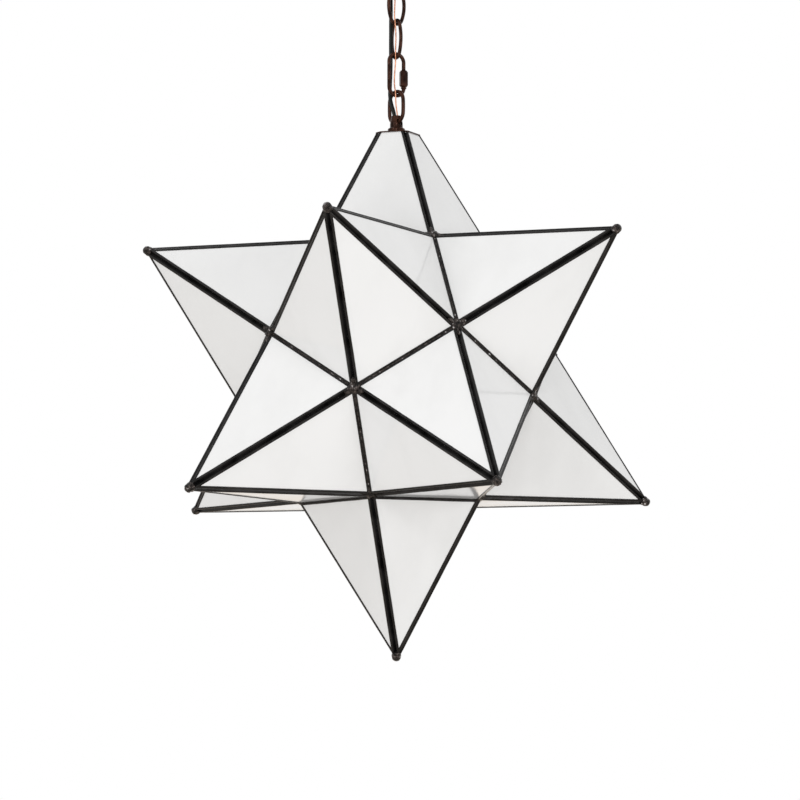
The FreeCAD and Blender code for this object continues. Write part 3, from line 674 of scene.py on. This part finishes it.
# Each slot's finish. The dark ones in plain view have less gloss, to throw back less of the white room.
FINISHES = {
    "dark_came": dict(dark=(0.004, 0.0038, 0.0038), light=(0.020, 0.0188, 0.0185), metallic=0.0,
                      rough=(0.14, 0.28), scale=60.0, bump=0.3, distance=0.0006, gloss=0.17),
    # The solder's bright grey spots are painted glints as well as worn bare solder.
    "dark_solder": dict(dark=(0.004, 0.003, 0.0026), light=(0.075, 0.06, 0.054), metallic=0.45,
                        rough=(0.1, 0.3), scale=300.0, bump=1.0, distance=0.0016, low=0.44, high=0.63,
                        glint_and_bare=(0.5, 0.49, 0.5), gloss=0.35),
    "hinge_brass": dict(dark=(0.02, 0.018, 0.016), light=(0.07, 0.06, 0.05), metallic=0.8,
                        rough=(0.35, 0.55), scale=120.0, bump=0.2, distance=0.0004),
    "bronze_finish": dict(dark=(0.014, 0.0055, 0.0035), light=(0.062, 0.026, 0.017), metallic=0.4,
                          rough=(0.11, 0.24), scale=110.0, bump=0.2, distance=0.0004, gloss=0.08),
    "plain_steel": dict(dark=(0.38, 0.38, 0.39), light=(0.55, 0.55, 0.56), metallic=0.9,
                        rough=(0.3, 0.45), scale=60.0, bump=0.15, distance=0.0003),
    "socket_brass": dict(dark=(0.42, 0.28, 0.10), light=(0.62, 0.44, 0.18), metallic=0.95,
                         rough=(0.2, 0.38), scale=50.0, bump=0.1, distance=0.0003),
    "socket_moulding": dict(dark=(0.012, 0.012, 0.012), light=(0.022, 0.022, 0.021), metallic=0.0,
                            rough=(0.4, 0.55), scale=90.0, bump=0.15, distance=0.0004),
    "lamp_metal": dict(dark=(0.45, 0.45, 0.46), light=(0.62, 0.62, 0.62), metallic=0.95,
                       rough=(0.25, 0.4), scale=70.0, bump=0.15, distance=0.0003),
    "lamp_glass": dict(dark=(0.80, 0.79, 0.76), light=(0.88, 0.87, 0.84), metallic=0.0,
                       rough=(0.3, 0.4), scale=30.0, bump=0.05, distance=0.0003),
    "green_screw": dict(dark=(0.02, 0.12, 0.04), light=(0.04, 0.2, 0.07), metallic=0.7,
                        rough=(0.3, 0.45), scale=80.0, bump=0.1, distance=0.0003),
    "black_cord": dict(dark=(0.003, 0.0038, 0.003), light=(0.007, 0.0085, 0.007), metallic=0.0,
                       rough=(0.34, 0.5), scale=160.0, bump=0.1, distance=0.0003, gloss=0.1),
    "copper_wire": dict(dark=(0.42, 0.17, 0.09), light=(0.75, 0.36, 0.22), metallic=0.95,
                        rough=(0.25, 0.42), scale=260.0, bump=0.15, distance=0.0003),
}
LOOKS = {"opal_glass": opal_glass()}
for slot_name, finish in FINISHES.items():
    LOOKS[slot_name] = mottled(slot_name, **finish)


def dress_cad_nodes():
    """Every solid that stays in view gets the look of its slot."""
    for entry in frame["record"]["subparts"]:
        node = NODES[entry["node"]]
        look = LOOKS[entry["material_slot"]]
        if not node.data.materials:
            node.data.materials.append(look)
        for slot in node.material_slots:
            slot.material = look


# ---------------------------------------------------------------- chain, ring, quick link
WIRE_PLAY = 0.0115        # a drawn bow stays this share of its wire's radius inside its solid's box
BEND_STEPS = 36
QUICK_LOWER_END = 2.0     # threaded ends of the wire, from the sleeve nut's lower face
QUICK_UPPER_END = 6.8
# The swelling under the sleeve nut: (radius, height from the nut's lower face).
QUICK_COLLAR = [(1.9, -2.9), (2.2, -2.3), (2.9, -1.7), (3.05, -1.2), (2.85, -0.75), (2.1, -0.55),
                (2.1, -0.04), (1.9, -0.02)]
QUICK_COLLAR_SIDES = 24


def hung_oval(name, node, body, plan, wire, width, roundness):
    """A closed link of round wire, hanging in the vertical plane of direction plan."""
    low, high = box_mm(node)
    radius = wire / 2
    middle = V((0, 0, (low.z + high.z) / 2))
    length = high.z - low.z - 2 * radius * (1 + WIRE_PLAY)
    route = [middle + UP * a + plan * c for a, c in oval(length, width, roundness)]
    shells = Shells()
    shells.add_rings(planar_wire(route, plan.cross(UP), radius, True), closed=True)
    finish_piece(shells.piece(name), body, "bronze_finish", node)


def build_quick_link():
    """An open oval with threaded ends inside the sleeve nut, and a collar below the nut."""
    low, high = box_mm("quick_link")
    nut_low = box_mm("quick_link_nut")[0].z
    radius = QUICK_WIRE / 2
    bend = QUICK_WIDTH / 2
    plan = heading(CHAIN_HEADING)
    top = V((0, 0, high.z - radius * (1 + WIRE_PLAY) - bend))
    bottom = V((0, 0, low.z + radius * (1 + WIRE_PLAY) + bend))
    arm = plan * bend
    route = [arm + UP * (nut_low + QUICK_UPPER_END)] + arc_points(top, plan, bend, 0, 180, BEND_STEPS)
    route += arc_points(bottom, plan, bend, 180, 360, BEND_STEPS) + [arm + UP * (nut_low + QUICK_LOWER_END)]
    shells = Shells()
    shells.add_rings(planar_wire(route, plan.cross(UP), radius, False))
    across, up = V((1, 0, 0)), V((0, 1, 0))
    shells.add_rings([circle(arm + UP * (nut_low + z), across, up, r, QUICK_COLLAR_SIDES)
                      for r, z in QUICK_COLLAR])
    finish_piece(shells.piece("quick_link_wire_round"), "quick_link_wire", "bronze_finish", "quick_link")


# ---------------------------------------------------------------- plate and hanging loop
# The turned nozzle: (radius, height above the plate).
LOOP_PROFILE = [
    (PIPE_HOLE, 0), (FLANGE_RADIUS, 0), (FLANGE_RADIUS, 5.9), (8.3, 6.6), (6.9, 6.9), (6.7, 7.8),
    (6.65, 11.6), (6.15, 14.8), (5.55, 18.2), (5.35, LOOP_HEIGHT), (LOOP_MOUTH_BORE, LOOP_HEIGHT),
    (LOOP_MOUTH_BORE, LOOP_SOCKET_DEPTH), (PIPE_HOLE, LOOP_SOCKET_DEPTH),
]
LOOP_ROUNDING = 0.9
LOOP_SHARP = 38           # degrees
EYE_CUTTER_REACH = 12
EYE_SIDES = 40
PLATE_TRIM = 2.6          # how far its corners are cut back
# Its rolled upper edge: (inwards, below the upper face).
PLATE_EDGE = [(0, 0.35), (0.12, 0.1), (0.4, 0)]
PLATE_SIDES = 180
PLATE_SHARP = 35          # degrees


def cut_with(piece, cutter):
    """Takes the cutter's space out of the piece."""
    modifier = piece.modifiers.new("eye", "BOOLEAN")
    modifier.object = cutter
    modifier.operation = "DIFFERENCE"
    modifier.solver = "EXACT"
    bpy.context.view_layer.update()
    evaluated = piece.evaluated_get(bpy.context.evaluated_depsgraph_get())
    mesh = bpy.data.meshes.new_from_object(evaluated)
    piece.modifiers.clear()
    piece.data = mesh
    bpy.data.objects.remove(cutter)


def build_hanging_loop():
    """The turned nozzle with its flange, and the eye that the ring runs through."""
    profile = [(r, z + PLATE_TOP) for r, z in rounded_profile(LOOP_PROFILE, LOOP_ROUNDING, 4)]
    piece = lathe(profile, TURNED_SIDES).piece("hanging_loop_turned")
    axis = heading(RING_HEADING)
    eye = UP * (PLATE_TOP + RING_SEAT + LOOP_EYE_LIFT)
    hole = Shells()
    hole.add_rings([circle(eye + axis * s, axis.cross(UP), UP, LOOP_EYE_RADIUS, EYE_SIDES)
                    for s in (-EYE_CUTTER_REACH, EYE_CUTTER_REACH)])
    cut_with(piece, hole.piece("eye_cutter"))
    piece.data.polygons.foreach_set("use_smooth", [True] * len(piece.data.polygons))
    sharpen(piece, LOOP_SHARP)
    finish_piece(piece, "star", "bronze_finish", "hanging_loop")


def build_plate():
    """The folded metal plate on the cut-off point, its corners trimmed back to the channels."""
    low, high = box_mm("top_plate")
    corners = sorted(math.atan2(c.y, c.x) for c in corners_round("top"))
    reach = PLATE_CORNER + PLATE_LIP
    flat = reach * math.cos(math.pi / 5)
    rings = []
    for k in range(PLATE_SIDES):
        turn = 2 * math.pi * k / PLATE_SIDES + corners[0]
        off = min(abs(math.remainder(turn - c, 2 * math.pi)) for c in corners)
        edge = min(flat / math.cos(math.pi / 5 - off), (reach - PLATE_TRIM) / math.cos(off))
        out = V((math.cos(turn), math.sin(turn), 0))
        profile = [(edge, low.z)] + [(edge - d, high.z - h) for d, h in PLATE_EDGE]
        profile += [(PIPE_HOLE, high.z), (PIPE_HOLE, low.z)]
        rings.append([out * r + UP * z for r, z in profile])
    shells = Shells()
    shells.add_rings(rings, closed=True)
    piece = shells.piece("top_plate_trimmed")
    sharpen(piece, PLATE_SHARP)
    finish_piece(piece, "star", "bronze_finish", "top_plate")


# ---------------------------------------------------------------- ceiling end
COLLAR_BEND_STEPS = 40
COLLAR_ROUNDING = 0.7
CEILING_SHARP = 40        # degrees
CANOPY_RIM = 4.0          # height of the straight rim
# The canopy's skirt, as shares of its radius and depth.
CANOPY_SKIRT = [(0.93, 0.36), (0.84, 0.54), (0.70, 0.70), (0.55, 0.82)]
CANOPY_SIDE_WALL = 1.0
CANOPY_CROWN_WALL = 0.9
CANOPY_ROUNDING = 6.0
COLLAR_RING_ROUNDING = 0.5
KNURLS = 64
KNURL_DEPTH = 0.22
KNURL_SIDES = 192
KNURL_FROM = 17.2         # only what lies further out than this is knurled


def build_collar_loop():
    """The threaded base and the wire bow that carries the chain."""
    low, high = box_mm("canopy_loop")
    radius = COLLAR_LOOP_WIRE / 2
    bend = COLLAR_LOOP_WIDTH / 2
    bow_low = low.z + radius * (1 + WIRE_PLAY)
    base_low = bow_low + COLLAR_LOOP_DROP
    socket = high.z - COLLAR_SOCKET_DEPTH
    profile = [(COLLAR_BASE_BORE, base_low), (COLLAR_BASE_RADIUS, base_low), (COLLAR_BASE_RADIUS, high.z),
               (PIPE_HOLE, high.z), (PIPE_HOLE, socket), (COLLAR_BASE_BORE, socket)]
    shells = lathe(rounded_profile(profile, COLLAR_ROUNDING), TURNED_SIDES)
    plan = heading(CROSS_HEADING)
    centre = V((0, 0, bow_low + bend))
    # The bow's ends reach a millimetre into the base.
    root = base_low * UP + UP
    route = [root - plan * bend] + arc_points(centre, plan, bend, 180, 360, COLLAR_BEND_STEPS)
    route += [root + plan * bend]
    shells.add_rings(planar_wire(route, plan.cross(UP), radius, False))
    piece = shells.piece("collar_loop_round")
    sharpen(piece, CEILING_SHARP)
    finish_piece(piece, "ceiling_mount", "bronze_finish", "canopy_loop")


def build_canopy():
    """A spun cover: straight rim, rolled shoulder, shallow dome and flat middle."""
    low, high = box_mm("canopy")
    depth = high.z - low.z
    radius = high.x
    hole = COLLAR_BASE_RADIUS + CANOPY_PLAY
    outer = [(radius, 0), (radius, -CANOPY_RIM), (radius * 0.985, -6.5)]
    outer += [(radius * r, -depth * z) for r, z in CANOPY_SKIRT]
    outer += [(CANOPY_FLAT + 5, -depth * 0.93), (CANOPY_FLAT, -depth), (hole, -depth)]
    inner = [(r - CANOPY_SIDE_WALL if r > hole + 1 else r, min(0.0, z + CANOPY_CROWN_WALL))
             for r, z in reversed(outer)]
    shells = lathe(rounded_profile(outer + inner, CANOPY_ROUNDING, 4), CANOPY_SIDES)
    piece = shells.piece("canopy_spun")
    sharpen(piece, CEILING_SHARP)
    finish_piece(piece, "canopy_cover", "bronze_finish", "canopy")


def build_collar_ring():
    """The screwed collar, knurled round its rim."""
    low, high = box_mm("collar_ring")
    height = high.z - low.z
    bore = COLLAR_BASE_RADIUS + COLLAR_FIT
    profile = rounded_profile([(bore, 0), (COLLAR_RING_RADIUS - COLLAR_RING_BEVEL, 0),
                               (COLLAR_RING_RADIUS, COLLAR_RING_BEVEL), (COLLAR_RING_RADIUS, height),
                               (bore, height)], COLLAR_RING_ROUNDING)
    rings = []
    for k in range(KNURL_SIDES):
        t = 2 * math.pi * k / KNURL_SIDES
        dip = KNURL_DEPTH * (1 + math.cos(t * KNURLS))
        ring = []
        for r, z in profile:
            reach = r - dip if r > KNURL_FROM else r
            ring.append(V((reach * math.cos(t), reach * math.sin(t), low.z + z)))
        rings.append(ring)
    shells = Shells()
    shells.add_rings(rings, closed=True)
    piece = shells.piece("collar_ring_knurled")
    sharpen(piece, CEILING_SHARP)
    finish_piece(piece, "collar", "bronze_finish", "collar_ring")


def build_hardware():
    along = heading(CHAIN_HEADING)
    across = heading(CROSS_HEADING)
    hung_oval("ring_round", "ring_link", "ring", heading(RING_HEADING), RING_WIRE, RING_WIDTH, RING_ROUNDNESS)
    chain = (CHAIN_WIRE, CHAIN_WIDTH, CHAIN_ROUNDNESS)
    hung_oval("chain_upper_round", "chain_link_upper", "upper_link", along, *chain)
    hung_oval("chain_lower_round", "chain_link_lower", "lower_link", across, *chain)
    build_quick_link()
    build_collar_loop()
    build_hanging_loop()
    build_plate()
    build_canopy()
    build_collar_ring()


# ---------------------------------------------------------------- cords
# The same points as the solids' routes, in millimetres.
POWER_ROUTE = [
    (0.0, -0.4, -22.0), (0.0, -0.4, -33.0), (-2.1, -0.1, -43.5), (-5.6, 0.6, -54.0),
    (-6.3, 0.9, -66.5), (-6.0, 0.7, -80.0), (-6.2, 1.0, -94.0), (-6.1, 0.7, -108.0),
    (-6.3, 0.9, -122.0), (-6.1, 0.8, -136.0), (-6.4, 0.9, -150.0), (-6.9, 0.4, -163.0),
    (-7.1, 0.0, -174.0), (-5.2, -0.5, -183.5), (-2.4, -1.0, -191.5), (-1.4, -0.8, -198.5),
]
GROUND_ROUTE = [
    (1.6, 1.9, -22.0), (1.7, 1.7, -32.0), (1.5, -1.3, -42.0), (0.7, -4.3, -52.0),
    (0.0, -4.8, -64.0), (-0.3, -4.9, -77.0), (-0.9, -5.0, -90.0), (0.3, -4.6, -101.0),
    (0.8, -4.7, -112.0), (0.3, -4.7, -126.0), (0.4, -4.6, -139.0), (-0.7, -4.9, -152.0),
    (-1.1, -5.0, -162.0), (0.4, -4.7, -172.0), (0.5, -4.3, -184.0), (1.5, -3.0, -192.5),
    (2.1, -2.0, -199.0),
]
CORD_WIDTH = 5.2
CORD_THICKNESS = 2.6
CORE_STEPS = 9            # points round each core of the twin cord
CORE_ARC = 230            # degrees of it that show outside the groove
GROUND_THICKNESS = 1.4
GROUND_SIDES = 10
CORD_SHARP = 60           # degrees
# Each stretch hangs between two bodies, down to a height, and bends between two heights at their joint.
STRETCHES = [
    ("ceiling_mount", "upper_link", -79.5, (-54.7, -68.7)),
    ("upper_link", "lower_link", -115.5, (-90.45, -104.45)),
    ("lower_link", "quick_link_wire", -153.5, (-126.5, -140.5)),
    ("quick_link_wire", "ring", None, (-166.65, -180.65)),
]


def spline_points(route, name):
    """Points in millimetres on the smooth line that has the route as its control points."""
    data = bpy.data.curves.new(name, "CURVE")
    data.dimensions = "3D"
    data.resolution_u = 10
    spline = data.splines.new("NURBS")
    spline.points.add(len(route) - 1)
    for point, place in zip(spline.points, route):
        point.co = tuple(V(place) * MM) + (1.0,)
    spline.order_u = 3
    spline.use_endpoint_u = True
    carrier = bpy.data.objects.new(name, data)
    bpy.context.scene.collection.objects.link(carrier)
    bpy.context.view_layer.update()
    mesh = bpy.data.meshes.new_from_object(carrier.evaluated_get(bpy.context.evaluated_depsgraph_get()))
    points = [v.co / MM for v in mesh.vertices]
    bpy.data.meshes.remove(mesh)
    bpy.data.objects.remove(carrier)
    bpy.data.curves.remove(data)
    return points


def split_at(points, heights):
    """Parts a falling line of points at the first point below each height, which both parts share."""
    ends = [0] + [next(i for i, p in enumerate(points) if p.z < height) for height in heights]
    ends.append(len(points) - 1)
    return [points[i:j + 1] for i, j in zip(ends, ends[1:])]


def twin_section():
    """Two insulated cores side by side with a shallow groove between."""
    radius = CORD_THICKNESS / 2
    off = CORD_WIDTH / 2 - radius
    points = []
    for core, first in ((off, -CORE_ARC / 2), (-off, 180 - CORE_ARC / 2)):
        for k in range(CORE_STEPS):
            t = math.radians(first + CORE_ARC * k / (CORE_STEPS - 1))
            points.append((core + radius * math.cos(t), radius * math.sin(t)))
    return points


def round_section(radius, sides):
    turns = [2 * math.pi * k / sides for k in range(sides)]
    return [(radius * math.cos(t), radius * math.sin(t)) for t in turns]


def cord_rings(points, whole, section, wide):
    """Rings across the line; the frame turns with the whole cord, so stretches meet."""
    rings = []
    for point in points:
        near = min(range(len(whole)), key=lambda i: (whole[i] - point).length)
        before = whole[max(0, near - 1)]
        after = whole[min(len(whole) - 1, near + 1)]
        along = (after - before).normalized()
        across = (wide - along * wide.dot(along)).normalized()
        thin = along.cross(across)
        rings.append([point + across * a + thin * b for a, b in section])
    return rings


def build_cord(node, slot, route, section, wide):
    """One cord as stretches that each span one joint; wide is the direction of its width."""
    name = node + "_part"
    whole = spline_points(route, name + "_line")
    parts = split_at(whole, [height for _, _, height, _ in STRETCHES[:-1]])
    for index, (stretch, points) in enumerate(zip(STRETCHES, parts)):
        shells = Shells()
        shells.add_rings(cord_rings(points, whole, section, wide))
        piece = shells.piece("%s_%d" % (name, index + 1))
        sharpen(piece, CORD_SHARP)
        piece.data.materials.append(LOOKS[slot])
        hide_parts(node)
        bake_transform(piece)


def build_cords():
    build_cord("power_cord", "black_cord", POWER_ROUTE, twin_section(), heading(CROSS_HEADING))
    ring = round_section(GROUND_THICKNESS / 2, GROUND_SIDES)
    build_cord("ground_wire", "copper_wire", GROUND_ROUTE, ring, V((1, 0, 0)))


# ---------------------------------------------------------------- studio, in metres and watts
FLOOR_REACH = 26.0
FLOOR_LEVEL = -2.6
FLOOR_SEEN_WHITE = 0.7    # share of plain white in the floor, as the camera sees it
ROOM_LIGHT = 0.67         # how strongly the white room lights the star
# Round lights that face the star: place, size and power.
LIGHTS = {
    "key": ((-1.5, -2.6, 0.9), 0.5, 8.0),
    "fill": ((2.6, -1.8, -0.45), 1.5, 19.5),
    "low": ((-0.4, -2.6, -1.15), 1.8, 15.0),
    "front": ((0.6, -2.7, 0.45), 0.4, 4.5),
}


def build_floor():
    mesh = bpy.data.meshes.new("floor")
    plan = ((-1, -1), (1, -1), (1, 1), (-1, 1))
    corners = [(FLOOR_REACH * x, FLOOR_REACH * y, FLOOR_LEVEL) for x, y in plan]
    mesh.from_pydata(corners, [], [(0, 1, 2, 3)])
    floor = bpy.data.objects.new("floor", mesh)
    bpy.context.scene.collection.objects.link(floor)
    look, tree, shader = new_material("pale_floor")
    grain = noise_node(tree, 3.0, 2.0)
    shades = [(0.3, (0.78, 0.772, 0.762)), (0.7, (0.81, 0.802, 0.792))]
    colours = ramp_node(tree, grain.outputs["Fac"], shades)
    tree.links.new(colours.outputs["Color"], shader.inputs["Base Color"])
    shader.inputs["Roughness"].default_value = 0.8
    shader.inputs["Specular IOR Level"].default_value = 0.1
    # Glass that is seen along its face mirrors a warm, pale ground.
    ground = add(tree, "ShaderNodeEmission", Color=(1.0, 0.885, 0.76, 1), Strength=0.95)
    pale = add(tree, "ShaderNodeEmission", Color=(1.0, 1.0, 1.0, 1), Strength=1.0)
    rays = add(tree, "ShaderNodeLightPath")
    seen = add(tree, "ShaderNodeMixShader", Fac=FLOOR_SEEN_WHITE)
    eye = add(tree, "ShaderNodeMixShader")
    mirror = add(tree, "ShaderNodeMixShader")
    tree.links.new(shader.outputs["BSDF"], seen.inputs[1])
    tree.links.new(pale.outputs[0], seen.inputs[2])
    tree.links.new(rays.outputs["Is Camera Ray"], eye.inputs["Fac"])
    tree.links.new(shader.outputs["BSDF"], eye.inputs[1])
    tree.links.new(seen.outputs[0], eye.inputs[2])
    tree.links.new(rays.outputs["Is Glossy Ray"], mirror.inputs["Fac"])
    tree.links.new(eye.outputs[0], mirror.inputs[1])
    tree.links.new(ground.outputs[0], mirror.inputs[2])
    tree.links.new(mirror.outputs[0], tree.nodes["Material Output"].inputs["Surface"])
    mesh.materials.append(look)


def build_world():
    """A white backdrop to the eye and to reflections, softer as a light."""
    world = bpy.data.worlds.new("studio")
    bpy.context.scene.world = world
    world.use_nodes = True
    tree = world.node_tree
    tree.nodes.clear()
    seen = add(tree, "ShaderNodeBackground", Color=(1, 1, 1, 1), Strength=1.0)
    glow = add(tree, "ShaderNodeBackground", Color=(1, 1, 1, 1), Strength=ROOM_LIGHT)
    rays = add(tree, "ShaderNodeLightPath")
    first = add(tree, "ShaderNodeMath", operation="MAXIMUM")
    both = add(tree, "ShaderNodeMath", operation="MAXIMUM")
    tree.links.new(rays.outputs["Is Camera Ray"], first.inputs[0])
    tree.links.new(rays.outputs["Is Glossy Ray"], first.inputs[1])
    tree.links.new(first.outputs[0], both.inputs[0])
    tree.links.new(rays.outputs["Is Transmission Ray"], both.inputs[1])
    mix = add(tree, "ShaderNodeMixShader")
    out = add(tree, "ShaderNodeOutputWorld")
    tree.links.new(both.outputs[0], mix.inputs["Fac"])
    tree.links.new(glow.outputs[0], mix.inputs[1])
    tree.links.new(seen.outputs[0], mix.inputs[2])
    tree.links.new(mix.outputs[0], out.inputs["Surface"])


def build_lights():
    for name, (place, size, power) in LIGHTS.items():
        data = bpy.data.lights.new(name, "AREA")
        data.shape = "DISK"
        data.size = size
        data.energy = power
        light = bpy.data.objects.new(name, data)
        light.location = place
        light.rotation_euler = (CENTRE * MM - V(place)).to_track_quat("-Z", "Y").to_euler()
        bpy.context.scene.collection.objects.link(light)


def build_camera():
    """The photograph's view, from a little below the star's centre."""
    azimuth = math.radians(14.63)
    elevation = math.radians(-7.18)
    distance = 2.553
    level = math.cos(elevation)
    back = V((math.sin(azimuth) * level, -math.cos(azimuth) * level, math.sin(elevation)))
    data = bpy.data.cameras.new("camera")
    data.sensor_width = 36.0
    data.lens = 112.3
    data.shift_x = 0.0045
    data.shift_y = -0.0299
    camera = bpy.data.objects.new("camera", data)
    camera.location = CENTRE * MM + back * distance
    camera.rotation_euler = (-back).to_track_quat("-Z", "Y").to_euler()
    bpy.context.scene.collection.objects.link(camera)
    bpy.context.scene.camera = camera


bpy.context.scene.view_settings.view_transform = "Standard"
dress_cad_nodes()
build_star()
build_hardware()
build_cords()
build_floor()
build_world()
build_lights()
build_camera()
